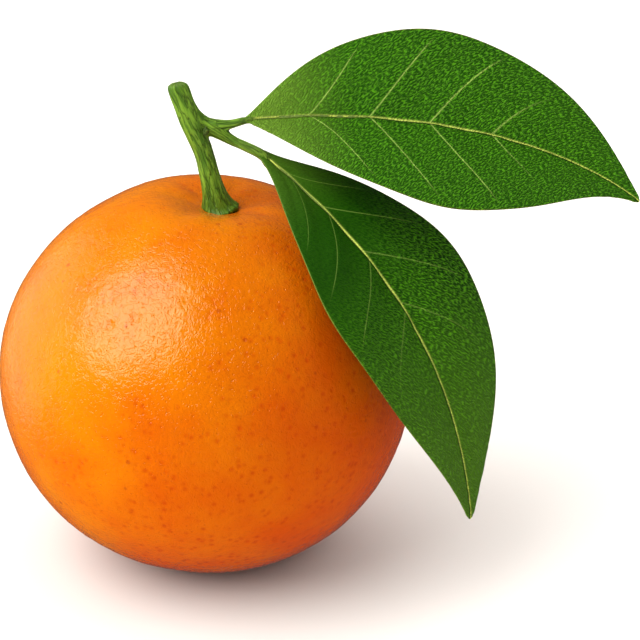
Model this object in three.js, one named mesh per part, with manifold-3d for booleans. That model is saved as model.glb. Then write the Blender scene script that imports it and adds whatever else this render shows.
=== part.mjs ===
// A mandarin as picked: the fruit, the calyx that holds it, a cut length of green stem, and a short
// side shoot that carries two citrus leaves. Millimetres, +Z up, +X towards the leaves.
// The origin is the middle of the small flat spot that the fruit rests on.
import * as THREE from "three";
import { mergeVertices } from "three/addons/utils/BufferGeometryUtils.js";
import Module from "manifold-3d";

const wasm = await Module();
wasm.setup();

// ---- Driving dimensions ----

const GAP = 0.3; // between neighbouring pieces

const FRUIT = {
  radius: 31, // at the widest
  halfHeight: 29.7,
  shoulder: 0.05, // how much the upper half narrows, and the lower half fills out
  centreHeight: 28.6, // lower than halfHeight, so the rest spot is cut flat
  lean: THREE.MathUtils.degToRad(4.5), // the stem end leans towards +X
  dimpleDepth: 3.6,
  dimpleWidth: 6.8,
  rings: 40,
  sectors: 48,
};

const CALYX = {
  rimRadius: 2.75,
  topRadius: 1.7,
  height: 2.3,
  skew: -0.85, // its top sits this far towards -X of the middle of its rim
  lobes: 5,
  lobeDepth: 0.07, // share of the radius
  sectors: 30,
  steps: 6,
};

const STEM = {
  footRadius: 1.6,
  waistRadius: 1.35, // between the foot and the node
  endRadius: 1.6, // at the cut
  route: [
    [0.1, 0.6, 63.3],
    [-2.3, 1, 69.5],
    [-3.6, 1.4, 73.4],
  ], // from above the calyx to the cut
  nodeShare: 0.71, // the side shoot leaves it this far up
  sectors: 18,
  steps: 18,
};

const SHOOT = {
  rootRadius: 1.8, // where it leaves the stem
  forkRadius: 0.95,
  fork: new THREE.Vector3(3, 0.9, 67.4),
  sag: new THREE.Vector3(0, 0, -0.6), // how far its middle dips below a straight line
  sectors: 14,
  steps: 8,
};

const BUD = { length: 1.5, radius: 0.5, centre: new THREE.Vector3(0.5, -1.2, 67.1) };

// A leaf: its midrib is a Bezier curve of four points, and its upper side faces an azimuth
// (from -Y towards +X) and an elevation, in degrees, at the base and at the tip.
const UPPER_LEAF = {
  midrib: [
    [6.2, 0.6, 68.4],
    [23, 4, 69],
    [49.5, 13, 63.5],
    [64.5, 6, 53.5],
  ],
  baseFacing: { azimuth: -12, elevation: 54 },
  tipFacing: { azimuth: 50, elevation: 42 },
  halfWidth: 15.3,
  basePower: 1.2,
  tipPower: 1.25,
  fold: 8,
};

const LOWER_LEAF = {
  midrib: [
    [8.5, -1.5, 64],
    [20.5, -6, 55],
    [36.5, -18, 43.5],
    [39, -19, 13.5],
  ],
  baseFacing: { azimuth: 40, elevation: 53 },
  tipFacing: { azimuth: 49, elevation: -12 },
  halfWidth: 12.8,
  basePower: 1.45,
  tipPower: 1.2,
  fold: 5,
};

const BLADE = {
  thickness: 0.45,
  baseHalfWidth: 0.7, // the blade is this wide where the petiole ends
  tipHalfWidth: 0.25,
  across: 8,
  along: 24,
};

const PETIOLE = {
  upper: { radius: 0.6, from: new THREE.Vector3(0.35, 0.05, 0.35) }, // its root, from the fork
  lower: { radius: 0.8, from: new THREE.Vector3(0, -0.3, -0.9) },
  neck: 0.8, // it narrows to this share of its radius halfway
  sectors: 12,
  steps: 8,
};

// ---- Materials ----

function surface(hex, roughness) {
  return new THREE.MeshStandardMaterial({ color: hex, roughness, metalness: 0 });
}

const rind = surface(0xf57c06, 0.45);
const greenBark = surface(0x6a9230, 0.6);
const calyxGreen = surface(0x5c8a2a, 0.6);
const leafGreen = surface(0x2f6a12, 0.5);
const deepLeafGreen = surface(0x2a5c10, 0.5);
const petioleGreen = surface(0x7fa042, 0.55);

// ---- Geometry helpers ----

const point = (xyz) => new THREE.Vector3(...xyz);

// Only the positions are left, and shared vertices are merged, so the surface is closed.
function closed(geometry) {
  geometry.deleteAttribute("normal");
  geometry.deleteAttribute("uv");
  return mergeVertices(geometry, 1e-4);
}

// Moves each vertex of a geometry to where place(x, y, z) says.
function reshape(geometry, place) {
  const positions = geometry.getAttribute("position");
  const vertex = new THREE.Vector3();
  for (let i = 0; i < positions.count; i++) {
    vertex.fromBufferAttribute(positions, i);
    const moved = place(vertex.x, vertex.y, vertex.z);
    positions.setXYZ(i, moved.x, moved.y, moved.z);
  }
  return closed(geometry);
}

function solid(geometry) {
  const vertProperties = new Float32Array(geometry.getAttribute("position").array);
  const triVerts = new Uint32Array(geometry.index.array);
  return new wasm.Manifold(new wasm.Mesh({ numProp: 3, vertProperties, triVerts }));
}

function geometryOf(manifold) {
  const mesh = manifold.getMesh();
  const geometry = new THREE.BufferGeometry();
  geometry.setAttribute("position", new THREE.BufferAttribute(mesh.vertProperties, 3));
  geometry.setIndex(new THREE.BufferAttribute(mesh.triVerts, 1));
  return geometry;
}

// A rod along a curve: a unit cylinder whose rings follow the curve, with the radius that
// radiusAt(share, turn) gives at a share of its length and an angle round it.
function rod(curve, radiusAt, sectors, steps) {
  const cylinder = new THREE.CylinderGeometry(1, 1, 1, sectors, steps);
  const sideways = new THREE.Vector3(0, 1, 0);
  return reshape(cylinder, (x, y, z) => {
    const share = y + 0.5;
    const along = curve.getTangentAt(share);
    const across = new THREE.Vector3().crossVectors(along, sideways).normalize();
    const back = new THREE.Vector3().crossVectors(across, along);
    const radius = radiusAt(share, Math.atan2(z, x));
    return curve
      .getPointAt(share)
      .addScaledVector(across, x * radius)
      .addScaledVector(back, z * radius);
  });
}

const mix = THREE.MathUtils.lerp;

// ---- Fruit ----

const leanAxis = new THREE.Vector3(Math.sin(FRUIT.lean), 0, Math.cos(FRUIT.lean));
const fruitCentre = new THREE.Vector3(0, 0, FRUIT.centreHeight);

// The rind's outline, as distance from the axis and height above the centre, at an angle
// from the stem end.
function rindPoint(angle) {
  const cosine = Math.cos(angle);
  const distance = FRUIT.radius * Math.sin(angle) * (1 - FRUIT.shoulder * cosine ** 3);
  const dimple = cosine > 0 ? Math.exp(-((distance / FRUIT.dimpleWidth) ** 2)) : 0;
  return new THREE.Vector2(distance, FRUIT.halfHeight * cosine - FRUIT.dimpleDepth * dimple);
}

function fruitGeometry() {
  const outline = [];
  for (let i = 0; i <= FRUIT.rings; i++) {
    const corner = rindPoint(Math.PI * (1 - i / FRUIT.rings));
    outline.push(i === 0 || i === FRUIT.rings ? new THREE.Vector2(0, corner.y) : corner);
  }
  const round = new THREE.LatheGeometry(outline, FRUIT.sectors);
  round.rotateX(Math.PI / 2);
  round.rotateY(FRUIT.lean);
  round.translate(0, 0, FRUIT.centreHeight);
  const roomAbove = 4 * FRUIT.radius;
  const aboveTable = new THREE.BoxGeometry(roomAbove, roomAbove, roomAbove);
  aboveTable.translate(0, 0, roomAbove / 2);
  return geometryOf(solid(closed(round)).intersect(solid(closed(aboveTable))));
}

// ---- Calyx and stem ----

// The calyx stands on the bottom of the dimple, clear of the slope under its rim.
const calyxReach = CALYX.rimRadius * (1 + CALYX.lobeDepth);
const dimpleFloor = rindPoint(Math.asin(calyxReach / FRUIT.radius)).y;
const calyxFoot = fruitCentre.clone().addScaledVector(leanAxis, dimpleFloor + GAP);
const calyxTop = calyxFoot
  .clone()
  .addScaledVector(leanAxis, CALYX.height)
  .add(new THREE.Vector3(CALYX.skew, 0, 0));
const stemHeading = point(STEM.route[0]).sub(calyxTop).normalize();

function calyxGeometry() {
  const handle = CALYX.height / 3;
  const middle = new THREE.CubicBezierCurve3(
    calyxFoot,
    calyxFoot.clone().addScaledVector(leanAxis, handle),
    calyxTop.clone().addScaledVector(stemHeading, -handle),
    calyxTop,
  );
  const radiusAt = (share, turn) => {
    const flare = (1 - share) ** 2; // wide and thin at the rim, steep at the stem
    const lobe = 1 + CALYX.lobeDepth * flare * Math.cos(CALYX.lobes * turn);
    return mix(CALYX.topRadius, CALYX.rimRadius, flare) * lobe;
  };
  return rod(middle, radiusAt, CALYX.sectors, CALYX.steps);
}

function stemGeometry() {
  const foot = calyxTop.clone().addScaledVector(stemHeading, GAP);
  const stemCurve = new THREE.CatmullRomCurve3([foot, ...STEM.route.map(point)]);
  const stemRadius = (share) =>
    share < STEM.nodeShare
      ? mix(STEM.footRadius, STEM.waistRadius, Math.min(1, (2 * share) / STEM.nodeShare))
      : mix(STEM.waistRadius, STEM.endRadius, (share - STEM.nodeShare) / (1 - STEM.nodeShare));
  const shootRoot = stemCurve.getPointAt(STEM.nodeShare);
  const shootBend = shootRoot.clone().lerp(SHOOT.fork, 0.45).add(SHOOT.sag);
  const shootCurve = new THREE.QuadraticBezierCurve3(shootRoot, shootBend, SHOOT.fork);
  const shootRadius = (share) => mix(SHOOT.rootRadius, SHOOT.forkRadius, Math.sqrt(share));
  const main = rod(stemCurve, stemRadius, STEM.sectors, STEM.steps);
  const side = rod(shootCurve, shootRadius, SHOOT.sectors, SHOOT.steps);
  return geometryOf(solid(main).add(solid(side)));
}

function budGeometry() {
  const bud = new THREE.SphereGeometry(1, 14, 10);
  return reshape(bud, (x, y, z) =>
    new THREE.Vector3(x * BUD.radius, -z * BUD.radius, (y * BUD.length) / 2).add(BUD.centre),
  );
}

// A leaf stalk from the fork of the shoot to just short of the blade's base.
function petioleGeometry(leaf, petiole) {
  const bladeBase = point(leaf.midrib[0]);
  const bladeHeading = point(leaf.midrib[1]).sub(bladeBase).normalize();
  const root = SHOOT.fork.clone().add(petiole.from);
  const heading = bladeBase.clone().sub(root).normalize();
  const start = root.addScaledVector(heading, GAP);
  const end = bladeBase.clone().addScaledVector(bladeHeading, -GAP);
  const handle = start.distanceTo(end) / 3;
  const middle = new THREE.CubicBezierCurve3(
    start,
    start.clone().addScaledVector(heading, handle),
    end.clone().addScaledVector(bladeHeading, -handle),
    end,
  );
  const radiusAt = (share) => petiole.radius * mix(1, PETIOLE.neck, Math.sin(Math.PI * share));
  return rod(middle, radiusAt, PETIOLE.sectors, PETIOLE.steps);
}

// ---- Leaves ----

function facing({ azimuth, elevation }) {
  const turn = THREE.MathUtils.degToRad(azimuth);
  const rise = THREE.MathUtils.degToRad(elevation);
  return new THREE.Vector3(
    Math.cos(rise) * Math.sin(turn),
    -Math.cos(rise) * Math.cos(turn),
    Math.sin(rise),
  );
}

// Half the blade's width at a share of its length, full at its broadest point.
function halfWidthAt(leaf, share) {
  const broadest = leaf.basePower / (leaf.basePower + leaf.tipPower);
  const rise = (share / broadest) ** leaf.basePower;
  const fall = ((1 - share) / (1 - broadest)) ** leaf.tipPower;
  return leaf.halfWidth * rise * fall + mix(BLADE.baseHalfWidth, BLADE.tipHalfWidth, share);
}

function leafGeometry(leaf) {
  const midrib = new THREE.CubicBezierCurve3(...leaf.midrib.map(point));
  const baseFacing = facing(leaf.baseFacing);
  const tipFacing = facing(leaf.tipFacing);
  const fold = THREE.MathUtils.degToRad(leaf.fold);
  const blade = new THREE.BoxGeometry(2, 1, 1, BLADE.across, BLADE.along, 1);
  return reshape(blade, (x, y, z) => {
    const share = y + 0.5;
    const along = midrib.getTangent(share);
    const upwards = baseFacing.clone().lerp(tipFacing, share);
    const across = new THREE.Vector3().crossVectors(along, upwards).normalize();
    const outwards = new THREE.Vector3().crossVectors(across, along);
    const reach = x * halfWidthAt(leaf, share);
    return midrib
      .getPoint(share)
      .addScaledVector(across, reach * Math.cos(fold))
      .addScaledVector(outwards, Math.abs(reach) * Math.sin(fold) + z * BLADE.thickness);
  });
}

// ---- The part ----

const mandarin = new THREE.Group();

function addPiece(name, geometry, material) {
  const mesh = new THREE.Mesh(geometry, material);
  mesh.name = name;
  mandarin.add(mesh);
}

addPiece("fruit", fruitGeometry(), rind);
addPiece("calyx", calyxGeometry(), calyxGreen);
addPiece("stem", stemGeometry(), greenBark);
addPiece("axillary_bud", budGeometry(), petioleGreen);
addPiece("upper_petiole", petioleGeometry(UPPER_LEAF, PETIOLE.upper), petioleGreen);
addPiece("lower_petiole", petioleGeometry(LOWER_LEAF, PETIOLE.lower), petioleGreen);
addPiece("upper_leaf", leafGeometry(UPPER_LEAF), leafGreen);
addPiece("lower_leaf", leafGeometry(LOWER_LEAF), deepLeafGreen);

export default mandarin;
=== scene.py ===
"""A ripe mandarin with its cut green stem and two citrus leaves, lit on a pale floor.

Each grown piece starts from a smooth form worked out here, in the CAD's own frame, and
Geometry Nodes give it the relief that repeats over it: oil glands on the rind, veins and
wrinkles on the leaf blades, fibres along the green bark.
"""
import math

import bmesh
import bpy
import numpy as np
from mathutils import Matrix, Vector


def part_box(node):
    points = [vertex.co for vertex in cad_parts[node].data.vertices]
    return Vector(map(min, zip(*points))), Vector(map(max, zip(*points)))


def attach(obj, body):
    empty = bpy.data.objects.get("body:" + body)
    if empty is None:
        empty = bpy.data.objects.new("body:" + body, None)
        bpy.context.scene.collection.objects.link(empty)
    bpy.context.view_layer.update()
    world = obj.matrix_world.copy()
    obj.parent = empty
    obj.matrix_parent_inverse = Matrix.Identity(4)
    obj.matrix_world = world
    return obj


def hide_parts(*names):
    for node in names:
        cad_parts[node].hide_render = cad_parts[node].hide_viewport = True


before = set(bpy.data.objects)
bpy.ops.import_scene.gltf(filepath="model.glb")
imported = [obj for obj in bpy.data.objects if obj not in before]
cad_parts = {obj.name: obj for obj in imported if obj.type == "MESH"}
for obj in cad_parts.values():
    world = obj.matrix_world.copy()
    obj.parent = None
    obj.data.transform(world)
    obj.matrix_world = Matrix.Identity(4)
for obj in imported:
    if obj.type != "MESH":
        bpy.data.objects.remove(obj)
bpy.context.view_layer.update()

MM = 0.001

# ---- Driving dimensions, the same as the CAD's: metres for the fruit, mm for the calyx and leaves ----

fruit_low, fruit_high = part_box("fruit")
FRUIT_RADIUS = (fruit_high.x - fruit_low.x) / 2
FRUIT_HALF_HEIGHT = 29.7 * MM
FRUIT_CENTRE_HEIGHT = 28.6 * MM
SHOULDER = 0.05
LEAN = math.radians(4.5)
DIMPLE_DEPTH = 3.6 * MM
DIMPLE_WIDTH = 6.8 * MM

CALYX_HEIGHT = 2.3
CALYX_RIM_RADIUS = 2.75
CALYX_SKEW = -0.85

# A leaf's midrib is a Bezier curve of four points, and its upper side faces an azimuth and an
# elevation at the base and at the tip. Spacings and sweeps of veins are shares of its length.
# The show values say how plainly its pale veins, paler base and lighter tip stand out; the paler base is
# partly and the lighter tip wholly painted light. One more value darkens the blade towards its base as
# painted shade.
UPPER_LEAF = {
    "midrib": [(6.2, 0.6, 68.4), (23, 4, 69), (49.5, 13, 63.5), (64.5, 6, 53.5)],
    "base_facing": (-12, 54),
    "tip_facing": (50, 42),
    "half_width": 15.3,
    "base_half_width": 0.5,
    "base_power": 1.2,
    "tip_power": 1.25,
    "fold": 8,
    "first_vein": 0.157,
    "vein_spacing": 0.15,
    "vein_sweep": 0.165,
    "vein_offset": 0.0,
    "vein_show": 0.85,
    "base_show": 0.9,
    "tip_show": 0.05,
    "smooth_until": -1.0,
    "depth": 0.0,
}
LOWER_LEAF = {
    "midrib": [(8.5, -1.5, 64), (20.5, -6, 55), (36.5, -18, 43.5), (39, -19, 13.5)],
    "base_facing": (40, 53),
    "tip_facing": (49, -12),
    "half_width": 12.8,
    "base_half_width": 0.95,
    "base_power": 1.45,
    "tip_power": 1.2,
    "fold": 6,
    "first_vein": 0.11,
    "vein_spacing": 0.145,
    "vein_sweep": 0.21,
    "vein_offset": 0.15,
    "vein_show": 0.28,
    "base_show": 0.25,
    "tip_show": 0.75,
    "smooth_until": 0.3,
    "depth": 0.8,
}
BLADE_LENGTH = 62
BLADE_THICKNESS = 0.42
BLADE_TIP_HALF_WIDTH = 0.55


# ---- Node tree helpers ----


def feed(tree, socket, value):
    """Links another socket to this one, or sets it to a plain value."""
    if isinstance(value, bpy.types.NodeSocket):
        tree.links.new(value, socket)
    else:
        socket.default_value = value


def add_node(tree, kind, settings=None, **inputs):
    """A node with its settings and its inputs, whose names have _ for each space."""
    node = tree.nodes.new(kind)
    for name, value in (settings or {}).items():
        setattr(node, name, value)
    for name, value in inputs.items():
        feed(tree, node.inputs[name.replace("_", " ")], value)
    return node


def calc(tree, operation, *terms):
    """The output of a Math node."""
    node = add_node(tree, "ShaderNodeMath", {"operation": operation})
    for socket, term in zip(node.inputs, terms):
        feed(tree, socket, term)
    return node.outputs[0]


def vector_calc(tree, operation, *terms):
    """The vector output of a Vector Math node; a single number goes to its Scale."""
    node = add_node(tree, "ShaderNodeVectorMath", {"operation": operation})
    for i, term in enumerate(terms):
        socket = node.inputs["Scale"] if operation == "SCALE" and i == 1 else node.inputs[i]
        feed(tree, socket, term)
    return node.outputs[0]


def remap(tree, value, from_low, from_high, to_low=0.0, to_high=1.0, smooth=True):
    """A Map Range node that holds its result between the two ends."""
    node = add_node(tree, "ShaderNodeMapRange", {"clamp": True})
    if smooth:
        node.interpolation_type = "SMOOTHSTEP"
    for socket, term in zip(node.inputs, (value, from_low, from_high, to_low, to_high)):
        feed(tree, socket, term)
    return node.outputs[0]


def bell(tree, distance, width):
    """1 at no distance, falling off as a bell curve of that width."""
    share = calc(tree, "DIVIDE", distance, width)
    return calc(tree, "EXPONENT", calc(tree, "MULTIPLY", calc(tree, "MULTIPLY", share, share), -1.0))


def noise(tree, vector, scale, detail=2.0, roughness=0.5, distortion=0.0):
    node = add_node(
        tree,
        "ShaderNodeTexNoise",
        Vector=vector,
        Scale=scale,
        Detail=detail,
        Roughness=roughness,
        Distortion=distortion,
    )
    return node.outputs[0]


def to_nearest_cell(tree, vector, scale, randomness=1.0):
    """The distance to the nearest of many scattered points, as a share of their spacing."""
    node = add_node(tree, "ShaderNodeTexVoronoi", Vector=vector, Scale=scale, Randomness=randomness)
    return node.outputs["Distance"]


def blend(tree, factor, first, second):
    """A colour between two others."""
    node = add_node(tree, "ShaderNodeMix", {"data_type": "RGBA"})
    feed(tree, node.inputs["Factor"], factor)
    feed(tree, node.inputs[6], first)
    feed(tree, node.inputs[7], second)
    return node.outputs[2]


# ---- Geometry Nodes helpers ----


def new_growth_tree(name, sizes):
    """A Geometry Nodes tree with a geometry and a material input and a named input for each size."""
    tree = bpy.data.node_groups.new(name, "GeometryNodeTree")
    face = tree.interface
    face.new_socket("Geometry", in_out="INPUT", socket_type="NodeSocketGeometry")
    for size, usual in sizes.items():
        face.new_socket(size, in_out="INPUT", socket_type="NodeSocketFloat").default_value = usual
    face.new_socket("Material", in_out="INPUT", socket_type="NodeSocketMaterial")
    face.new_socket("Geometry", in_out="OUTPUT", socket_type="NodeSocketGeometry")
    return tree, tree.nodes.new("NodeGroupInput").outputs


def finish_growth_tree(tree, given, height):
    """Moves the surface out along its normals by height, and closes the tree."""
    normal = tree.nodes.new("GeometryNodeInputNormal").outputs[0]
    moved = add_node(
        tree,
        "GeometryNodeSetPosition",
        Geometry=given["Geometry"],
        Offset=vector_calc(tree, "SCALE", normal, height),
    )
    real = add_node(tree, "GeometryNodeRealizeInstances", Geometry=moved.outputs[0])
    painted = add_node(
        tree, "GeometryNodeSetMaterial", Geometry=real.outputs[0], Material=given["Material"]
    )
    end = tree.nodes.new("NodeGroupOutput")
    tree.links.new(painted.outputs[0], end.inputs[0])


def attribute(tree, name, kind="FLOAT"):
    """A named attribute, in a geometry tree or in a material."""
    if tree.bl_idname == "GeometryNodeTree":
        node = add_node(tree, "GeometryNodeInputNamedAttribute", {"data_type": kind}, Name=name)
        return node.outputs["Attribute"]
    node = add_node(tree, "ShaderNodeAttribute", {"attribute_name": name})
    return node.outputs["Vector" if kind == "FLOAT_VECTOR" else "Fac"]


def grow(piece, tree, material, **sizes):
    """Runs a growth tree on a piece and keeps the result as its plain mesh."""
    modifier = piece.modifiers.new("growth", "NODES")
    modifier.node_group = tree
    keys = {
        item.name: item.identifier for item in tree.interface.items_tree if item.in_out == "INPUT"
    }
    modifier[keys["Material"]] = material
    for name, value in sizes.items():
        modifier[keys[name.replace("_", " ")]] = value
    graph = bpy.context.evaluated_depsgraph_get()
    made = bpy.data.meshes.new_from_object(
        piece.evaluated_get(graph), preserve_all_data_layers=True, depsgraph=graph
    )
    piece.modifiers.clear()
    piece.data = made
    made.shade_smooth()
    return piece


# ---- Mesh helpers ----


def new_piece(name, vertices, faces, **values):
    """An object with its place in its mesh; values are named numbers or vectors, one a vertex."""
    mesh = bpy.data.meshes.new(name)
    mesh.from_pydata(np.asarray(vertices).tolist(), [], faces)
    for title, numbers in values.items():
        numbers = np.asarray(numbers, dtype=np.float32)
        kind, field = ("FLOAT_VECTOR", "vector") if numbers.ndim == 2 else ("FLOAT", "value")
        mesh.attributes.new(title, kind, "POINT").data.foreach_set(field, numbers.ravel())
    mesh.shade_smooth()
    piece = bpy.data.objects.new(name, mesh)
    bpy.context.scene.collection.objects.link(piece)
    return piece


def coordinates(mesh):
    found = np.empty(len(mesh.vertices) * 3)
    mesh.vertices.foreach_get("co", found)
    return found.reshape(-1, 3)


def ease(share):
    """A share held between 0 and 1, with a smooth start and end."""
    share = np.clip(share, 0, 1)
    return share * share * (3 - 2 * share)


def unit(vectors):
    return vectors / np.linalg.norm(vectors, axis=-1, keepdims=True)


def facing(azimuth, elevation):
    """A unit direction: degrees round from the front (-Y) towards +X, and degrees up."""
    turn, rise = math.radians(azimuth), math.radians(elevation)
    return np.array((math.cos(rise) * math.sin(turn), -math.cos(rise) * math.cos(turn), math.sin(rise)))


def seat(piece, node):
    """The piece rides on the row's one body and hides the CAD node that it stands for."""
    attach(piece, "root")
    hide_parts(node)
    return piece


# ---- Fruit ----

RIND_CUTS = 124  # cuts along each edge of the cube that the fruit's even grid starts from
PUCKER_HEIGHT = 0.16 * MM
PUCKER_REACH = 6.5 * MM
PUCKER_SPREAD = 3.2 * MM
FLAT_SOFTNESS = 0.25 * MM
GLAND_SPACING = 1.2 * MM
DENT_DEPTH = 0.32 * MM
# Small dents in the rind: degrees round from the front, degrees up, and width in metres.
DENTS = [
    (-25, 37, 0.75 * MM),
    (-33, 33, 0.6 * MM),
    (70, 12, 0.8 * MM),
    (150, 28, 0.9 * MM),
    (-120, 8, 0.7 * MM),
]


def rind_outline(angle):
    """Distance from the fruit's axis and height above its centre, at an angle from the stem end."""
    cosine = np.cos(angle)
    distance = FRUIT_RADIUS * np.sin(angle) * (1 - SHOULDER * cosine**3)
    dimple = np.where(cosine > 0, np.exp(-((distance / DIMPLE_WIDTH) ** 2)), 0)
    return distance, FRUIT_HALF_HEIGHT * cosine - DIMPLE_DEPTH * dimple


def even_ball():
    """A cube's evenly cut faces blown up to a ball: unit directions and quads."""
    grid = bmesh.new()
    bmesh.ops.create_cube(grid, size=2)
    bmesh.ops.subdivide_edges(grid, edges=grid.edges[:], cuts=RIND_CUTS, use_grid_fill=True)
    corners = np.array([v.co for v in grid.verts])
    quads = [[v.index for v in f.verts] for f in grid.faces]
    grid.free()
    return unit(np.tan(corners * math.pi / 4)), quads


def fruit_piece():
    directions, quads = even_ball()
    angle = np.arccos(np.clip(directions[:, 2], -1, 1))
    turn = np.arctan2(directions[:, 1], directions[:, 0])
    distance, height = rind_outline(angle)
    pucker = 0.6 * np.cos(7 * turn + 0.8) + 0.4 * np.cos(11 * turn + 2.1)
    near_stem = np.exp(-(((distance - PUCKER_REACH) / PUCKER_SPREAD) ** 2)) * (angle < math.pi / 2)
    height = height + PUCKER_HEIGHT * pucker * near_stem
    x = distance * np.cos(turn)
    y = distance * np.sin(turn)
    leaning = np.stack(
        [x * math.cos(LEAN) + height * math.sin(LEAN), y, height * math.cos(LEAN) - x * math.sin(LEAN)],
        axis=1,
    )
    leaning[:, 2] += FRUIT_CENTRE_HEIGHT
    # The underside rests flat, and turns up softly round the rest spot.
    lifted = leaning[:, 2]
    leaning[:, 2] = (lifted + np.sqrt(lifted**2 + FLAT_SOFTNESS**2)) / 2
    leaning[:, 2] -= leaning[:, 2].min()
    for azimuth, elevation, width in DENTS:
        aim = facing(azimuth, elevation)
        off_aim = FRUIT_RADIUS * np.linalg.norm(directions - aim, axis=1)
        leaning -= aim * (DENT_DEPTH * np.exp(-((off_aim / width) ** 2)))[:, None]
    stem_end = np.exp(-((distance / (1.6 * DIMPLE_WIDTH)) ** 2)) * (angle < math.pi / 2)
    return new_piece("fruit_rind", leaning, quads, stem_end=stem_end)


def rind_tree():
    """Oil glands: round pits of one spacing all over, on slow swells and a fine crinkle."""
    tree, given = new_growth_tree(
        "rind_glands",
        {
            "Gland Spacing": GLAND_SPACING,
            "Gland Depth": 0.07 * MM,
            "Crinkle Size": 1.5 * MM,
            "Crinkle Height": 0.1 * MM,
            "Swell Size": 14 * MM,
            "Swell Height": 0.5 * MM,
        },
    )
    position = tree.nodes.new("GeometryNodeInputPosition").outputs[0]
    pits = gland_pits(tree, position, calc(tree, "DIVIDE", 1.0, given["Gland Spacing"]))
    crinkle = noise(tree, position, calc(tree, "DIVIDE", 1.0, given["Crinkle Size"]), detail=1.0)
    swell = noise(tree, position, calc(tree, "DIVIDE", 1.0, given["Swell Size"]), detail=1.0)
    height = calc(tree, "MULTIPLY", pits, calc(tree, "MULTIPLY", given["Gland Depth"], -1.0))
    for field, size in ((crinkle, "Crinkle Height"), (swell, "Swell Height")):
        centred = calc(tree, "SUBTRACT", field, 0.5)
        height = calc(tree, "ADD", height, calc(tree, "MULTIPLY", centred, given[size]))
    # Nothing may sink below the flat that the fruit rests on.
    above = remap(tree, add_node(tree, "ShaderNodeSeparateXYZ", Vector=position).outputs[2], 0.0, 2 * MM)
    finish_growth_tree(tree, given, calc(tree, "MULTIPLY", height, above))
    return tree


def gland_pits(tree, position, glands_per_metre):
    """1 in the middle of each oil gland, 0 between them."""
    distance = to_nearest_cell(tree, position, glands_per_metre, randomness=0.85)
    return remap(tree, distance, 0.0, 0.55, 1.0, 0.0)


# ---- Leaves ----

LEAF_ROWS = 300
LEAF_COLUMNS = 136
TIP_ROUNDING = 0.014  # the share of a blade's length over which its tip rounds off
DOME = 0.5  # how far each half of a blade arches between midrib and margin, mm
WAVE = 0.22  # the margin's gentle wave, mm
MIDRIB_COLUMNS = 0.35  # how closely columns stand at the midrib, against evenly spaced ones
WRINKLE_TURN = math.radians(42)  # the way the blade's wrinkles run, from its length towards side -1
WRINKLE_STRETCH = 0.36


def bezier(points, share):
    a, b, c, d = (np.array(p, dtype=float) for p in points)
    s = share[..., None]
    place = (1 - s) ** 3 * a + 3 * (1 - s) ** 2 * s * b + 3 * (1 - s) * s**2 * c + s**3 * d
    heading = (1 - s) ** 2 * (b - a) + 2 * (1 - s) * s * (c - b) + s**2 * (d - c)
    return place, unit(heading)


def blade_half_width(leaf, share):
    broadest = leaf["base_power"] / (leaf["base_power"] + leaf["tip_power"])
    rise = (share / broadest) ** leaf["base_power"]
    fall = ((1 - share) / (1 - broadest)) ** leaf["tip_power"]
    ends = leaf["base_half_width"] * (1 - share) + BLADE_TIP_HALF_WIDTH * share
    into_tip = np.clip((share - 1 + TIP_ROUNDING) / TIP_ROUNDING, 0, 0.995)
    return (leaf["half_width"] * rise * fall + ends) * np.sqrt(1 - into_tip**2)


def blade_frame(leaf, share):
    """Point, heading, direction across and upward normal along a leaf's midrib."""
    place, along = bezier(leaf["midrib"], share)
    s = share[..., None]
    upwards = facing(*leaf["base_facing"]) * (1 - s) + facing(*leaf["tip_facing"]) * s
    across = unit(np.cross(along, upwards))
    return place, along, across, np.cross(across, along)


def blade_surface(leaf, share, side):
    """Middle of the blade, in mm, and its upward normal; side runs from -1 to 1 across it."""
    place, along, across, upward = blade_frame(leaf, share)
    half_width = blade_half_width(leaf, share)
    reach = side * half_width
    fold = math.radians(leaf["fold"])
    fullness = half_width / leaf["half_width"]
    arch = DOME * np.sin(np.pi * np.abs(side)) * fullness
    wave = WAVE * side**4 * np.sin(2 * np.pi * (3.2 * share + 0.25 * np.sign(side))) * fullness
    lift = np.abs(reach) * math.sin(fold) + arch + wave
    surface = place + across * (reach * math.cos(fold))[..., None] + upward * lift[..., None]
    tilt = math.sin(fold) * np.sign(side)
    return surface, unit(upward - across * tilt[..., None]), half_width


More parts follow.
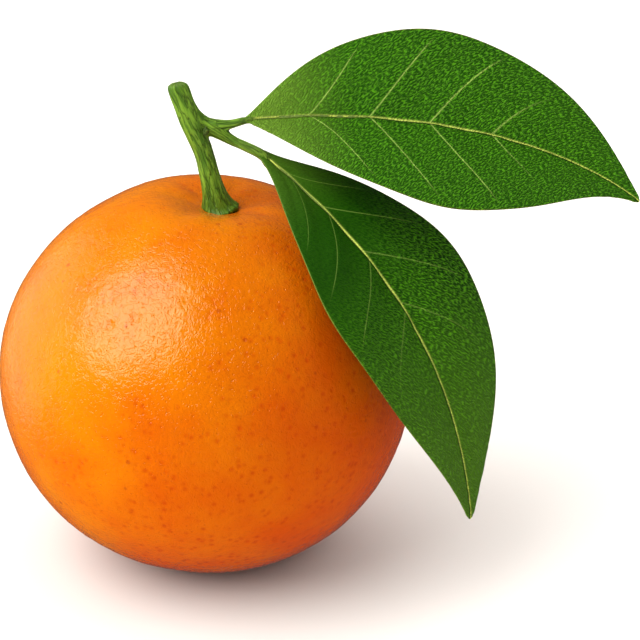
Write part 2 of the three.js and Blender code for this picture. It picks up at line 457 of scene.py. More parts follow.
def leaf_piece(name, leaf):
    """A closed blade: an upper and a lower skin that meet in one sharp margin all round."""
    column = np.linspace(-1, 1, LEAF_COLUMNS + 1)
    column = column * (MIDRIB_COLUMNS + (1 - MIDRIB_COLUMNS) * np.sqrt(np.abs(column)))
    share, side = np.meshgrid(np.linspace(0, 1, LEAF_ROWS + 1), column, indexing="ij")
    surface, normal, half_width = blade_surface(leaf, share, side)
    ends = np.sqrt(np.clip(np.minimum(share, 1 - share) / 0.012, 0, 1))
    half_thickness = BLADE_THICKNESS / 2 * np.sqrt(1 - np.abs(side) ** 7) * ends
    edge = np.ones(share.shape, dtype=bool)
    edge[1:-1, 1:-1] = False
    upper = np.arange(share.size).reshape(share.shape)
    lower = upper.copy()
    lower[~edge] = share.size + np.arange((~edge).sum())
    top = surface + normal * half_thickness[..., None]
    bottom = (surface - normal * half_thickness[..., None])[~edge]
    vertices = np.concatenate([top.reshape(-1, 3), bottom]) * MM
    skins = []
    for grid, corners in ((upper, (0, 2, 3, 1)), (lower, (0, 1, 3, 2))):
        quad = (grid[:-1, :-1], grid[:-1, 1:], grid[1:, :-1], grid[1:, 1:])
        skins.append(np.stack([quad[i].ravel() for i in corners], axis=1))
    facing_up = np.where(edge, 0.0, 1.0).ravel()
    wander = np.sin(9 * share + 3 * side + leaf["half_width"])
    sweep = leaf["vein_sweep"] * np.abs(side)
    vein_count = (share - sweep + 0.008 * wander - leaf["first_vein"]) / leaf["vein_spacing"]
    vein_count = vein_count + np.where(side < 0, leaf["vein_offset"], 0)
    vein_pitch = 0.8 * leaf["vein_spacing"] * BLADE_LENGTH * MM
    length, breadth = share * BLADE_LENGTH, side * half_width
    lengthwise = length * math.cos(WRINKLE_TURN) - breadth * math.sin(WRINKLE_TURN)
    crosswise = length * math.sin(WRINKLE_TURN) + breadth * math.cos(WRINKLE_TURN)
    weave = np.stack([lengthwise * WRINKLE_STRETCH, crosswise, 0 * side], axis=-1)
    wrinkled = 0.1 + 0.9 * ease((share - leaf["smooth_until"] - 0.1 * side) / 0.35)
    # Painted shade: darker from the base to past the middle, more on one half, for the upper leaf's
    # shadow and the blade's own curve.
    deep = leaf["depth"] * (1 - ease((share - 0.36) / 0.5)) * (0.55 + ease((-side - 0.15) / 0.6))

    def both(values):
        return np.concatenate([values.ravel(), values[~edge]])

    return new_piece(
        name,
        vertices,
        np.concatenate(skins).tolist(),
        along=both(share),
        across=both(side),
        reach=both(half_width) * MM,
        vein_count=both(vein_count),
        vein_pitch=both(np.full(share.shape, vein_pitch)),
        vein_show=both(np.full(share.shape, leaf["vein_show"])),
        base_show=both(np.full(share.shape, leaf["base_show"])),
        tip_show=both(np.full(share.shape, leaf["tip_show"])),
        wrinkled=both(wrinkled),
        deep=both(deep),
        weave=np.concatenate([weave.reshape(-1, 3), weave[~edge]]),
        upper_side=np.concatenate([facing_up, np.full((~edge).sum(), -1.0)]),
    )


GROOVE_OFFSET = 0.34 * MM  # the groove runs beside the midrib, on the side that faces down


def vein_lines(tree):
    """How strongly each point lies on the midrib, in the groove beside it and on a side vein,
    and the swell between veins."""
    along = attribute(tree, "along")
    outwards = calc(tree, "ABSOLUTE", attribute(tree, "across"))
    count = attribute(tree, "vein_count")
    midrib_width = remap(tree, along, 0.0, 1.0, 0.2 * MM, 0.12 * MM, smooth=False)
    midrib = bell(tree, calc(tree, "MULTIPLY", outwards, attribute(tree, "reach")), midrib_width)
    from_midrib = calc(tree, "MULTIPLY", attribute(tree, "across"), attribute(tree, "reach"))
    groove = bell(tree, calc(tree, "SUBTRACT", from_midrib, GROOVE_OFFSET), 0.5 * GROOVE_OFFSET)
    nearest = calc(tree, "SUBTRACT", calc(tree, "FRACT", calc(tree, "ADD", count, 0.5)), 0.5)
    vein_width = remap(tree, outwards, 0.0, 1.0, 0.11 * MM, 0.07 * MM, smooth=False)
    side_vein = bell(tree, calc(tree, "MULTIPLY", nearest, attribute(tree, "vein_pitch")), vein_width)
    fade = calc(tree, "MULTIPLY", remap(tree, outwards, 0.95, 0.65), remap(tree, along, 0.74, 0.58))
    fade = calc(tree, "MULTIPLY", fade, remap(tree, count, -0.9, -0.3))
    side_vein = calc(tree, "MULTIPLY", side_vein, fade)
    swell = calc(tree, "COSINE", calc(tree, "MULTIPLY", nearest, 2 * math.pi))
    swell = calc(tree, "MULTIPLY", swell, fade)
    return midrib, groove, side_vein, swell


def wrinkles(tree, scale):
    """Short crisp leathery wrinkles that all run one way, from 0 in a crease to 1 on a ridge."""
    weave = attribute(tree, "weave", "FLOAT_VECTOR")
    return remap(tree, noise(tree, weave, scale, detail=1.0), 0.38, 0.62)


def leaf_tree():
    """Veins, quilting and wrinkles above, a thick rib below; wrinkles are sized in the weave's mm."""
    sizes = {
        "Midrib Height": 0.06 * MM,
        "Vein Height": 0.04 * MM,
        "Under Rib Height": 0.42 * MM,
        "Under Rib Width": 0.55 * MM,
        "Quilting": 0.09 * MM,
        "Wrinkle Size": 0.8,
        "Wrinkle Height": 0.05 * MM,
    }
    tree, given = new_growth_tree("leaf_relief", sizes)
    midrib, groove, side_vein, swell = vein_lines(tree)
    upper = remap(tree, attribute(tree, "upper_side"), 0.0, 1.0, smooth=False)
    under = remap(tree, attribute(tree, "upper_side"), 0.0, -1.0, smooth=False)
    wrinkle_scale = calc(tree, "DIVIDE", 1.0, given["Wrinkle Size"])
    wrinkle = calc(tree, "SUBTRACT", wrinkles(tree, wrinkle_scale), 0.5)
    wrinkle = calc(tree, "MULTIPLY", wrinkle, attribute(tree, "wrinkled"))
    outwards = calc(tree, "ABSOLUTE", attribute(tree, "across"))
    from_midrib = calc(tree, "MULTIPLY", outwards, attribute(tree, "reach"))
    along = attribute(tree, "along")
    rib_width = calc(tree, "MULTIPLY", given["Under Rib Width"], remap(tree, along, 0.0, 1.0, 1.0, 0.35))
    rib = calc(tree, "MULTIPLY", bell(tree, from_midrib, rib_width), remap(tree, along, 1.0, 0.1))
    terms = (
        (calc(tree, "MULTIPLY", calc(tree, "SUBTRACT", midrib, groove), upper), given["Midrib Height"]),
        (side_vein, given["Vein Height"]),
        (calc(tree, "MULTIPLY", rib, under), given["Under Rib Height"]),
        (calc(tree, "MULTIPLY", swell, calc(tree, "SUBTRACT", under, upper)), given["Quilting"]),
        (calc(tree, "MULTIPLY", wrinkle, calc(tree, "ADD", upper, under)), given["Wrinkle Height"]),
    )
    height = 0.0
    for field, size in terms:
        height = calc(tree, "ADD", height, calc(tree, "MULTIPLY", field, size))
    finish_growth_tree(tree, given, height)
    return tree


# ---- Twig: calyx, stem, side shoot and leaf stalks, worked out in mm ----

TWIG_VOXEL = 0.11
LEAN_VECTOR = np.array((math.sin(LEAN), 0, math.cos(LEAN)))
RIM_ANGLE = math.asin(1.07 * CALYX_RIM_RADIUS * MM / FRUIT_RADIUS)
DIMPLE_FLOOR = (FRUIT_CENTRE_HEIGHT * np.array((0, 0, 1)) + LEAN_VECTOR * rind_outline(RIM_ANGLE)[1]) / MM
CALYX_FOOT = DIMPLE_FLOOR - LEAN_VECTOR * 0.2
CALYX_TOP = DIMPLE_FLOOR + LEAN_VECTOR * (CALYX_HEIGHT + 0.3) + np.array((CALYX_SKEW, 0, 0))
STEM_BEND = (0.1, 0.6, 63.3)
STEM_NODE = (-1.75, 0.9, 68.1)
STEM_CUT = (-3.7, 1.4, 73.8)
CUT_FACING = unit(np.array(STEM_CUT) - np.array(STEM_NODE) + np.array((0.9, 0, 0)))
WAIST_RADIUS = 1.36
FOOT_FLARE = 1.3
FILLET = 1.2
FLARE_REACH = 2.3
RIM_FLARE = 0.4
RIM_REACH = 0.6
BUD_PROUD = 0.2  # how far the middle of the bud stands out of the bark
SHOOT_ROUTE = [(-1.7, 1.0, 69.6), (0.1, 0.95, 67.9), (2.2, 0.9, 67.1)]
UPPER_STALK = {"root": (1.7, 0.9, 67.3), "middle": (4.1, 0.75, 67.75), "root_radius": 0.8, "radius": 0.52}
LOWER_STALK = {"root": (1.5, 0.8, 66.9), "middle": (4.5, 0.0, 65.4), "root_radius": 0.95, "radius": 0.76}


def smooth_route(points, steps=12):
    """A smooth polyline through the points (Catmull-Rom)."""
    points = [np.array(p, dtype=float) for p in points]
    padded = [2 * points[0] - points[1], *points, 2 * points[-1] - points[-2]]
    route = []
    for a, b, c, d in zip(padded, padded[1:], padded[2:], padded[3:]):
        for share in np.arange(steps) / steps:
            route.append(
                0.5
                * (
                    2 * b
                    + (c - a) * share
                    + (2 * a - 5 * b + 4 * c - d) * share**2
                    + (3 * b - a - 3 * c + d) * share**3
                )
            )
    route.append(points[-1])
    return np.array(route)


def length_so_far(route):
    """The length from a route's start to each of its points."""
    return np.concatenate([[0], np.cumsum(np.linalg.norm(np.diff(route, axis=0), axis=1))])


def limb(points, radii):
    """A tapering limb: its smooth route, and the radius and the length so far at the route's points."""
    route = smooth_route(points)
    so_far = length_so_far(route)
    knots = [np.argmin(np.linalg.norm(route - np.array(p, dtype=float), axis=1)) for p in points]
    return route, np.interp(so_far, so_far[knots], radii), so_far


def limb_distance(places, route, radii, so_far):
    """Signed distance from each place to a limb's skin, how far along that is, and its axis point."""
    nearest = np.full(len(places), np.inf)
    radius = np.zeros(len(places))
    along = np.zeros(len(places))
    axis = np.zeros((len(places), 3))
    for i in range(len(route) - 1):
        start, step = route[i], route[i + 1] - route[i]
        share = np.clip((places - start) @ step / (step @ step), 0, 1)
        point = start + share[:, None] * step
        off_axis = np.linalg.norm(places - point, axis=1)
        closer = off_axis < nearest
        nearest = np.where(closer, off_axis, nearest)
        radius = np.where(closer, radii[i] + share * (radii[i + 1] - radii[i]), radius)
        along = np.where(closer, so_far[i] + share * (so_far[i + 1] - so_far[i]), along)
        axis = np.where(closer[:, None], point, axis)
    return nearest - radius, along, axis


def soft_min(a, b, reach):
    """The nearer of two distances, with a fillet of that reach where they are alike."""
    overlap = np.clip(reach - np.abs(a - b), 0, None) / reach
    return np.minimum(a, b) - overlap**3 * reach / 6


def capped_rings(rings, sectors):
    """Quads round a stack of rings, and at either end a fan to one more point, the last two of all."""
    faces = []
    last = (rings - 1) * sectors
    pairs = [(j, (j + 1) % sectors) for j in range(sectors)]
    for i in range(0, last, sectors):
        for j, k in pairs:
            faces.append([i + j, i + k, i + sectors + k, i + sectors + j])
    for j, k in pairs:
        faces.append([k, j, rings * sectors])
        faces.append([last + j, last + k, rings * sectors + 1])
    return faces


def tube(route, radii, sectors=20):
    """A closed tube of rings round a route, with a fan over each end."""
    heading = unit(np.gradient(route, axis=0))
    across = unit(np.cross(heading, (0.3, 1.0, 0.1)))
    beside = np.cross(heading, across)
    turn = np.linspace(0, 2 * math.pi, sectors, endpoint=False)
    ring = across[:, None] * np.cos(turn)[:, None] + beside[:, None] * np.sin(turn)[:, None]
    skin = route[:, None] + ring * np.asarray(radii)[:, None, None]
    vertices = np.concatenate([skin.reshape(-1, 3), route[:1], route[-1:]])
    return vertices, capped_rings(len(route), sectors)


def stalk_limb(stalk, leaf):
    """A leaf stalk's route from inside the shoot to where it runs out under the blade as its midrib."""
    blade, _, _, upward = blade_frame(leaf, np.array((0.0, 0.04, 0.1, 0.22)))
    sink = np.array((0.15, 0.8, 1.0, 0.7))[:, None] * stalk["radius"]
    points = [stalk["root"], stalk["middle"], *(blade - sink * upward)]
    taper = stalk["radius"] * np.array((1, 0.98, 0.94, 0.8, 0.3))
    return limb(points, (stalk["root_radius"], *taper))


class Twig:
    """The trunk from the calyx to the cut, the short shoot, and the swollen roots of both leaf stalks."""

    def __init__(self):
        route = smooth_route([CALYX_FOOT, CALYX_TOP, STEM_BEND, STEM_NODE, STEM_CUT])
        so_far = length_so_far(route)
        flare = FOOT_FLARE * np.exp(-so_far / FLARE_REACH) + RIM_FLARE * np.exp(-so_far / RIM_REACH)
        swell = 0.18 * np.clip((so_far - 9) / 4, 0, 1)
        self.limbs = [(route, WAIST_RADIUS + flare + swell, so_far), limb(SHOOT_ROUTE, (0.9, 1.05, 0.9))]
        for stalk, leaf, share in ((UPPER_STALK, UPPER_LEAF, 0.5), (LOWER_STALK, LOWER_LEAF, 0.5)):
            route, _, so_far = stalk_limb(stalk, leaf)
            part = so_far <= 0.35 * so_far[-1]
            taper = np.linspace(stalk["root_radius"], 0.75 * stalk["radius"], part.sum())
            self.limbs.append((route[part], taper, so_far[part] + 20))

    def distance(self, places):
        """Signed distance to the twig's skin, the length along its limb, and the offset from its axis."""
        nearest = np.full(len(places), np.inf)
        skin = None
        length = np.zeros(len(places))
        axis = np.zeros_like(places)
        for route, radii, so_far in self.limbs:
            to_limb, along, centre = limb_distance(places, route, radii, so_far)
            closer = to_limb < nearest
            nearest = np.where(closer, to_limb, nearest)
            length = np.where(closer, along, length)
            axis = np.where(closer[:, None], centre, axis)
            skin = to_limb if skin is None else soft_min(skin, to_limb, FILLET)
        skin = -soft_min(-skin, -((places - np.array(STEM_CUT)) @ CUT_FACING), 1.6)
        skin = -soft_min(-skin, (places - CALYX_FOOT) @ LEAN_VECTOR, 0.45)
        return skin, length, places - axis

    def settle(self, places, rounds=4):
        """Moves places onto the twig's skin along its slope."""
        step = 0.02
        for _ in range(rounds):
            here = self.distance(places)[0]
            slope = np.stack(
                [(self.distance(places + step * axis)[0] - here) / step for axis in np.eye(3)], axis=1
            )
            length = np.clip(np.linalg.norm(slope, axis=1, keepdims=True), 0.5, None)
            places = places - np.clip(here, -0.6, 0.6)[:, None] * slope / length**2
        return places


def solid_union(parts, voxel):
    """One closed skin round overlapping closed parts."""
    mesh = bpy.data.meshes.new("union")
    vertices = np.concatenate([p[0] for p in parts])
    faces, offset = [], 0
    for points, quads in parts:
        faces += [[i + offset for i in quad] for quad in quads]
        offset += len(points)
    mesh.from_pydata(vertices.tolist(), [], faces)
    raw = bpy.data.objects.new("union", mesh)
    bpy.context.scene.collection.objects.link(raw)
    remesh = raw.modifiers.new("skin", "REMESH")
    remesh.mode = "VOXEL"
    remesh.voxel_size = voxel
    graph = bpy.context.evaluated_depsgraph_get()
    made = bpy.data.meshes.new_from_object(raw.evaluated_get(graph), depsgraph=graph)
    places = coordinates(made)
    quads = [list(f.vertices) for f in made.polygons]
    bpy.data.objects.remove(raw)
    bpy.data.meshes.remove(mesh)
    bpy.data.meshes.remove(made)
    return places, quads


def part_off(piece, name, point, normal, keep_above):
    """A copy of one side of a closed piece, closed again with a flat face that has a crisp rim."""
    grid = bmesh.new()
    grid.from_mesh(piece.data)
    cut = bmesh.ops.bisect_plane(
        grid,
        geom=grid.verts[:] + grid.edges[:] + grid.faces[:],
        plane_co=Vector(point),
        plane_no=Vector(normal),
        clear_inner=keep_above,
        clear_outer=not keep_above,
    )
    rim = [e for e in cut["geom_cut"] if isinstance(e, bmesh.types.BMEdge)]
    for edge in rim:
        edge.smooth = False
    bmesh.ops.holes_fill(grid, edges=rim, sides=0)
    bmesh.ops.recalc_face_normals(grid, faces=grid.faces[:])
    mesh = bpy.data.meshes.new(name)
    grid.to_mesh(mesh)
    grid.free()
    mesh.materials.append(piece.data.materials[0])
    half = bpy.data.objects.new(name, mesh)
    bpy.context.scene.collection.objects.link(half)
    return half


def fibre_grain(radial, along):
    """Coordinates in which fibres run out long along a limb, whatever its thickness."""
    around = 1.4 * unit(radial + 1e-6)
    return around + np.stack([0 * along, 0 * along, 0.16 * along], axis=1)


def twig_pieces(relief, paint):
    """The calyx and the stem: one smooth skin, parted at the top of the calyx."""
    twig = Twig()
    parts = [tube(route, 0.97 * radii) for route, radii, _ in twig.limbs]
    places, quads = solid_union(parts, TWIG_VOXEL)
    places = twig.settle(places)
    _, along, radial = twig.distance(places)
    grain = fibre_grain(radial, along)
    from_cut = (np.array(STEM_CUT) - places) @ CUT_FACING
    # Painted shade: darker towards the calyx's foot, where it sits in the rind's dimple.
    foot = 1 - ease((places - CALYX_FOOT) @ LEAN_VECTOR / 5)
    whole = new_piece("twig", places * MM, quads, grain=grain, foot=foot, from_cut=from_cut)
    grow(whole, relief, paint)
    calyx = part_off(whole, "calyx_foot", CALYX_TOP * MM, LEAN_VECTOR, keep_above=False)
    stem = part_off(whole, "stem_bark", CALYX_TOP * MM, LEAN_VECTOR, keep_above=True)
    bpy.data.objects.remove(whole)
    return calyx, stem


def stalk_piece(name, stalk, leaf):
    """A leaf stalk as a fine tube along its route."""
    sectors = 56
    route, radii, so_far = stalk_limb(stalk, leaf)
    fine = np.linspace(0, so_far[-1], 170)
    route = np.stack([np.interp(fine, so_far, route[:, i]) for i in range(3)], axis=1)
    radii = np.interp(fine, so_far, radii)
    shown = np.clip(fine / (0.4 * fine[-1]), 0, 1)
    radii = radii * (0.8 + 0.2 * shown) * np.sqrt(np.clip((fine[-1] - fine) / 0.4, 0.02, 1))
    vertices, quads = tube(route, radii, sectors)
    ring = np.clip(np.arange(len(vertices)) // sectors, 0, len(route) - 1)
    along = fine[ring] + 20
    grain = fibre_grain(vertices - route[ring], along)
    return new_piece(name, vertices * MM, quads, grain=grain, from_cut=along)


def bud_piece():
    """The dormant bud in the axil: a pointed drop wrapped in a few low scales, half sunk in the bark."""
    low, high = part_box("axillary_bud")
    middle = np.array((low + high) / 2) / MM
    foothold = Twig().settle(middle[None], rounds=8)[0]
    centre = foothold + BUD_PROUD * unit(middle - foothold)
    share, turn = np.meshgrid(np.linspace(0, 1, 60), np.linspace(0, 2 * math.pi, 64, endpoint=False))
    share, turn = share.T, turn.T
    radius = 0.46 * np.sin(np.pi * share**0.8) ** 0.75 * (1 - 0.25 * share)
    scales = 1 + 0.12 * np.abs(np.sin(1.5 * turn + 5 * share)) * np.sin(np.pi * share)
    reach = radius * scales
    height = (share - 0.5) * (high.z - low.z) / MM
    around = np.stack([reach * np.cos(turn), reach * np.sin(turn), height], axis=-1)[1:-1]
    sectors = around.shape[1]
    ends = np.array(((0, 0, height[0, 0]), (0, 0, height[-1, 0])))
    vertices = np.concatenate([around.reshape(-1, 3), ends]) + centre
    faces = capped_rings(len(around), sectors)
    grain = vertices - centre
    # It has no cut face, so every part of it counts as far from a cut.
    from_cut = np.full(len(vertices), 9.0)
    return new_piece("axillary_bud_scales", vertices * MM, faces, grain=grain, from_cut=from_cut)


def bark_tree():
    """Lengthwise ribs and fine crinkles of young green bark, along each limb's own grain."""
    tree, given = new_growth_tree(
        "bark_fibres",
        {"Rib Size": 0.8, "Rib Height": 0.26 * MM, "Fibre Size": 0.32, "Fibre Height": 0.12 * MM},
    )
    grain = attribute(tree, "grain", "FLOAT_VECTOR")
    height = 0.0
    for kind, detail in (("Rib", 1.0), ("Fibre", 2.0)):
        scale = calc(tree, "DIVIDE", 1.0, given[kind + " Size"])
        field = calc(tree, "SUBTRACT", noise(tree, grain, scale, detail=detail), 0.5)
        height = calc(tree, "ADD", height, calc(tree, "MULTIPLY", field, given[kind + " Height"]))
    finish_growth_tree(tree, given, height)
    return tree


# ---- Materials ----

SUNNY_SIDE = (-0.8, -0.1, 0.55)  # painted light: the rind is painted yellower towards this side, and redder away from it as painted shade
RIND_COLOURS = {
    # painted shade and painted light: the rind's colour away from and towards the lit side
    "shaded": (0.72, 0.082, 0.0001, 1),
    "sunny": (0.87, 0.25, 0.0004, 1),
    "gland": (0.62, 0.058, 0.0002, 1),
    "scar": (0.45, 0.05, 0.003, 1),
    "stem end": (0.55, 0.13, 0.012, 1),
    "glint": (1, 0.88, 0.62, 1),
}
LEAF_COLOURS = {
    "green": (0.012, 0.085, 0.0003, 1),
    "patch": (0.016, 0.105, 0.0004, 1),
    # painted shade laid over the lower leaf's base
    "deep": (0.003, 0.036, 0.0002, 1),
    # painted light on the wrinkles' ridges, so the creases stay darker as painted shade
    "ridge": (0.14, 0.5, 0.01, 1),
    # paler towards the stalk: partly the leaf's own colour, partly painted light
    "base": (0.2, 0.38, 0.03, 1),
    # painted light: the lighter green towards the tip
    "tip": (0.11, 0.26, 0.015, 1),
    "vein": (0.52, 0.78, 0.14, 1),
    # painted shade in the groove beside the midrib
    "groove": (0.003, 0.014, 0.0003, 1),
    "midrib": (0.88, 1.0, 0.18, 1),
    # a paler rim of the leaf's own, brightened further as painted highlight
    "margin": (0.4, 0.4, 0.05, 1),
    "underside": (0.15, 0.25, 0.07, 1),
    "glint": (0.95, 1, 0.6, 1),
}
BARK_COLOURS = {
    # painted shade in the bark's creases
    "crease": (0.03, 0.07, 0.003, 1),
    # painted shade towards the calyx foot
    "foot": (0.04, 0.1, 0.005, 1),
    "cut": (0.16, 0.24, 0.04, 1),
}


def new_material(name, roughness, gloss):
    material = bpy.data.materials.new(name)
    material.use_nodes = True
    tree = material.node_tree
    shader = tree.nodes["Principled BSDF"]
    shader.inputs["Roughness"].default_value = roughness
    shader.inputs["Specular IOR Level"].default_value = gloss
    return material, tree, shader


def add_bump(tree, shader, height, distance):
    bump = add_node(tree, "ShaderNodeBump", Height=height, Distance=distance)
    tree.links.new(bump.outputs[0], shader.inputs["Normal"])


def rind_material():
    """Glossy orange rind: patchy colour painted yellower towards the lit side and redder away from it as
    painted light and shade, darker gland pits, a few scars and a dull stem end.
    """
    material, tree, shader = new_material("rind", 0.05, 0.62)
    position = tree.nodes.new("ShaderNodeTexCoord").outputs["Object"]
    patches = noise(tree, position, 1 / (11 * MM), detail=3.0)
    # Painted light and shade: yellower towards the lit side, redder away from it, mixed with random
    # patches of tone.
    sunny = add_node(tree, "ShaderNodeVectorMath", {"operation": "DOT_PRODUCT"})
    feed(tree, sunny.inputs[0], position)
    feed(tree, sunny.inputs[1], SUNNY_SIDE)
    ripe = calc(tree, "MULTIPLY_ADD", sunny.outputs["Value"], 0.5 / FRUIT_RADIUS, patches)
    skin = blend(tree, remap(tree, ripe, 0.25, 1.5), RIND_COLOURS["shaded"], RIND_COLOURS["sunny"])
    mottle = remap(tree, noise(tree, position, 1 / (2.2 * MM), detail=2.0), 0.62, 0.38)
    pits = calc(tree, "MULTIPLY", gland_pits(tree, position, 1 / GLAND_SPACING), mottle)
    # Painted light: the gland pits are painted fainter on the lit side.
    pits = calc(tree, "MULTIPLY", pits, remap(tree, ripe, 1.2, 0.6, 0.1, 0.9))
    skin = blend(tree, pits, skin, RIND_COLOURS["gland"])
    scars = remap(tree, to_nearest_cell(tree, position, 1 / (5 * MM)), 0.09, 0.05)
    skin = blend(tree, calc(tree, "MULTIPLY", scars, 0.5), skin, RIND_COLOURS["scar"])
    dull = calc(tree, "MULTIPLY", attribute(tree, "stem_end"), noise(tree, position, 1 / (1.5 * MM)))
    skin = blend(tree, calc(tree, "MULTIPLY", dull, 0.7), skin, RIND_COLOURS["stem end"])
    tree.links.new(skin, shader.inputs["Base Color"])
    shader.inputs["Specular Tint"].default_value = RIND_COLOURS["glint"]
    crinkle = noise(tree, position, 1 / (0.9 * MM), detail=1.0, distortion=1.0)
    streaks = noise(tree, position, 1 / (0.27 * MM), detail=1.0, distortion=0.8)
    pores = remap(tree, to_nearest_cell(tree, position, 1 / (0.8 * MM)), 0.24, 0.06)
    folds = noise(tree, position, 1 / (0.8 * MM), detail=0.0, distortion=1.0)
    fine_lines = bell(tree, calc(tree, "SUBTRACT", folds, 0.5), 0.07)
    height = crinkle
    for field, share in ((streaks, 0.4), (fine_lines, -0.35), (pores, -0.8)):
        height = calc(tree, "MULTIPLY_ADD", field, share, height)
    add_bump(tree, shader, height, 0.065 * MM)
    return material


def leaf_material():
    """Citrus leaf: leathery green above with pale raised veins, paler below; painted light on its
    wrinkles' ridges, towards its tip and in part at its base and margin, and painted shade in the groove
    beside the midrib and towards the lower leaf's base.
    """
    material, tree, shader = new_material("leaf_blade", 0.4, 0.22)
    position = tree.nodes.new("ShaderNodeTexCoord").outputs["Object"]
    midrib, groove, side_vein, _ = vein_lines(tree)
    along = attribute(tree, "along")
    wrinkle = calc(tree, "MULTIPLY", wrinkles(tree, 1 / 0.21), attribute(tree, "wrinkled"))
    layers = (
        # Painted shade over the lower leaf's base.
        ("deep", attribute(tree, "deep")),
        # Painted light on the wrinkles' ridges; the creases between stay darker as painted shade.
        ("ridge", calc(tree, "MULTIPLY", wrinkle, 0.58)),
        # Paler towards the base: partly the leaf's own colour, partly painted light.
        ("base", calc(tree, "MULTIPLY", remap(tree, along, 0.3, 0.02), attribute(tree, "base_show"))),
        # Painted light: lighter towards the tip, mostly on the lower leaf.
        ("tip", calc(tree, "MULTIPLY", remap(tree, along, 0.5, 1.0), attribute(tree, "tip_show"))),
        ("vein", calc(tree, "MULTIPLY", side_vein, attribute(tree, "vein_show"))),
        # Painted shade in the groove beside the midrib.
        ("groove", calc(tree, "MULTIPLY", groove, 0.7)),
        ("midrib", midrib),
        # The margin is painted paler: partly its own colour, partly painted highlight.
        ("margin", remap(tree, calc(tree, "ABSOLUTE", attribute(tree, "across")), 0.982, 1.0, 0.0, 0.55)),
        ("underside", remap(tree, attribute(tree, "upper_side"), -0.3, -0.7, 0.0, 0.8)),
    )
    patches = remap(tree, noise(tree, position, 1 / (9 * MM), detail=2.0), 0.3, 0.7)
    green = blend(tree, patches, LEAF_COLOURS["green"], LEAF_COLOURS["patch"])
    for name, share in layers:
        green = blend(tree, share, green, LEAF_COLOURS[name])
    tree.links.new(green, shader.inputs["Base Color"])
    shader.inputs["Specular Tint"].default_value = LEAF_COLOURS["glint"]
    add_bump(tree, shader, wrinkle, 0.3 * MM)
    return material


def bark_material(name, lit, shade, roughness):
    """Young green bark, streaked along its grain, with a paler dry face where it was cut; painted shade
    darkens its creases and its calyx foot.
    """
    material, tree, shader = new_material(name, roughness, 0.3)
    grain = attribute(tree, "grain", "FLOAT_VECTOR")
    streaks = remap(tree, noise(tree, grain, 1.6, detail=4.0, roughness=0.6), 0.4, 0.6)
    green = blend(tree, streaks, shade, lit)
    # Painted shade: the creases, which the bump also sinks, are painted dark.
    creases = bell(tree, calc(tree, "SUBTRACT", noise(tree, grain, 1.9, detail=2.0), 0.5), 0.03)
    green = blend(tree, calc(tree, "MULTIPLY", creases, 0.75), green, BARK_COLOURS["crease"])
    # Painted shade towards the calyx foot, where it meets the rind.
    green = blend(tree, calc(tree, "MULTIPLY", attribute(tree, "foot"), 0.5), green, BARK_COLOURS["foot"])
    cut = remap(tree, attribute(tree, "from_cut"), 0.35, 0.1)
    green = blend(tree, calc(tree, "MULTIPLY", cut, 0.5), green, BARK_COLOURS["cut"])
    tree.links.new(green, shader.inputs["Base Color"])
    height = calc(tree, "MULTIPLY_ADD", creases, -0.3, noise(tree, grain, 3.2, detail=3.0, roughness=0.6))
    add_bump(tree, shader, height, 0.22 * MM)
    return material


# ---- Stage ----

FLOOR_WIDTH = 60.0
CAMERA_AIM = Vector((17, 3.2, 35.55)) * MM
CAMERA_DISTANCE = 420 * MM
CAMERA_RISE = math.radians(24)
CAMERA_LENS = 157
KEY_LIGHT = {"strength": 3.2, "spread": 54, "from": (-0.58, -0.32, 0.75), "shines": True}
BACK_LIGHT = {"strength": 1.4, "spread": 110, "from": (0.4, 0.6, 0.7), "shines": False}
SIDE_LIGHT = {"strength": 1.45, "spread": 90, "from": (-0.9, 0.3, 0.35), "shines": False}
RIM_LIGHT = {"strength": 0.5, "spread": 60, "from": (-0.86, 0.5, 0.06), "shines": True}
FLOOR_LIGHT = {"strength": 5.8, "spread": 140, "from": (-0.25, -0.1, 0.96), "shines": False}
SKY_STRENGTH = 0.07


def add_light(name, light):
    """A far, wide lamp; only one that shines is mirrored in glossy skins."""
    lamp = bpy.data.lights.new(name, "SUN")
    lamp.energy = light["strength"]
    lamp.angle = math.radians(light["spread"])
    holder = bpy.data.objects.new(name, lamp)
    holder.rotation_mode = "QUATERNION"
    holder.rotation_quaternion = Vector(light["from"]).to_track_quat("Z", "Y")
    holder.visible_glossy = light["shines"]
    bpy.context.scene.collection.objects.link(holder)
    return holder


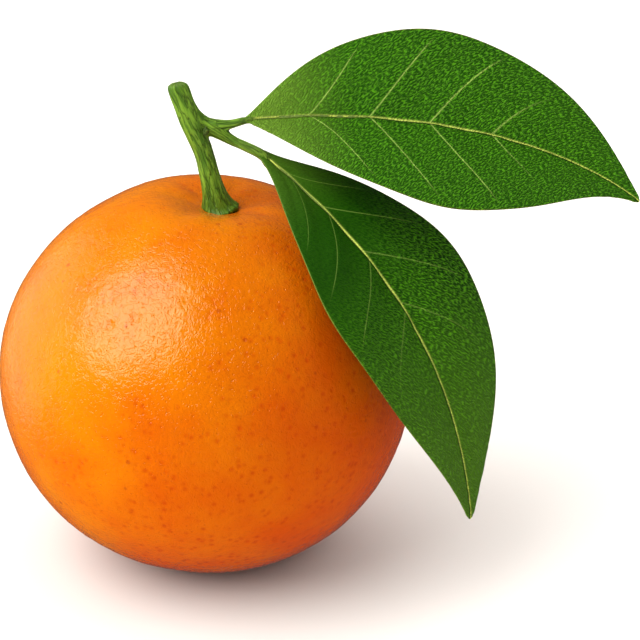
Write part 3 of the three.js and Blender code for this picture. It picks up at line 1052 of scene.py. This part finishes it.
def set_stage():
    """A pale floor, a soft key light from the upper left, weaker wide ones and a dim white sky."""
    half = FLOOR_WIDTH / 2
    corners = [(-half, -half, 0), (half, -half, 0), (half, half, 0), (-half, half, 0)]
    floor = new_piece("floor", np.array(corners), [[0, 1, 2, 3]])
    material, tree, shader = new_material("pale_floor", 0.9, 0.1)
    shader.inputs["Base Color"].default_value = (0.5, 0.475, 0.445, 1)
    floor.data.materials.append(material)
    floor.visible_glossy = False  # a bright floor would wash out the colour of the rind's lower half
    lights = {"key": KEY_LIGHT, "back": BACK_LIGHT, "side": SIDE_LIGHT, "rim": RIM_LIGHT}
    for name, light in lights.items():
        add_light(name, light)
    floor_only = bpy.data.collections.new("floor_only")
    floor_only.objects.link(floor)
    add_light("floor_wash", FLOOR_LIGHT).light_linking.receiver_collection = floor_only
    sky = bpy.data.worlds.new("sky")
    sky.use_nodes = True
    sky.node_tree.nodes["Background"].inputs["Color"].default_value = (1, 1, 1, 1)
    sky.node_tree.nodes["Background"].inputs["Strength"].default_value = SKY_STRENGTH
    bpy.context.scene.world = sky
    bpy.context.scene.view_settings.view_transform = "Standard"


def set_camera():
    lens = bpy.data.cameras.new("camera")
    lens.lens = CAMERA_LENS
    lens.clip_end = 100
    camera = bpy.data.objects.new("camera", lens)
    back = Vector((0, -math.cos(CAMERA_RISE), math.sin(CAMERA_RISE)))
    camera.location = CAMERA_AIM + back * CAMERA_DISTANCE
    camera.rotation_mode = "QUATERNION"
    camera.rotation_quaternion = back.to_track_quat("Z", "Y")
    bpy.context.scene.collection.objects.link(camera)
    bpy.context.scene.camera = camera


# ---- Build ----

rind = grow(fruit_piece(), rind_tree(), rind_material())
seat(rind, "fruit")

blade_paint = leaf_material()
blade_relief = leaf_tree()
for node, leaf in (("upper_leaf", UPPER_LEAF), ("lower_leaf", LOWER_LEAF)):
    blade = grow(leaf_piece(node + "_blade", leaf), blade_relief, blade_paint)
    seat(blade, node)

bark_relief = bark_tree()
bark_paint = bark_material("green_bark", (0.22, 0.42, 0.025, 1), (0.08, 0.2, 0.008, 1), 0.45)
stalk_paint = bark_material("stalk_green", (0.25, 0.43, 0.035, 1), (0.11, 0.23, 0.012, 1), 0.45)
bud_paint = bark_material("bud_green", (0.11, 0.19, 0.022, 1), (0.05, 0.09, 0.01, 1), 0.6)
calyx, stem = twig_pieces(bark_relief, bark_paint)
seat(calyx, "calyx")
seat(stem, "stem")
upper_stalk = stalk_piece("upper_stalk", UPPER_STALK, UPPER_LEAF)
lower_stalk = stalk_piece("lower_stalk", LOWER_STALK, LOWER_LEAF)
for piece, node in ((upper_stalk, "upper_petiole"), (lower_stalk, "lower_petiole")):
    seat(grow(piece, bark_relief, stalk_paint, Rib_Size=0.6, Rib_Height=0.2 * MM), node)
bud = grow(bud_piece(), bark_relief, bud_paint, Rib_Size=0.4, Rib_Height=0.08 * MM)
seat(bud, "axillary_bud")

set_stage()
set_camera()
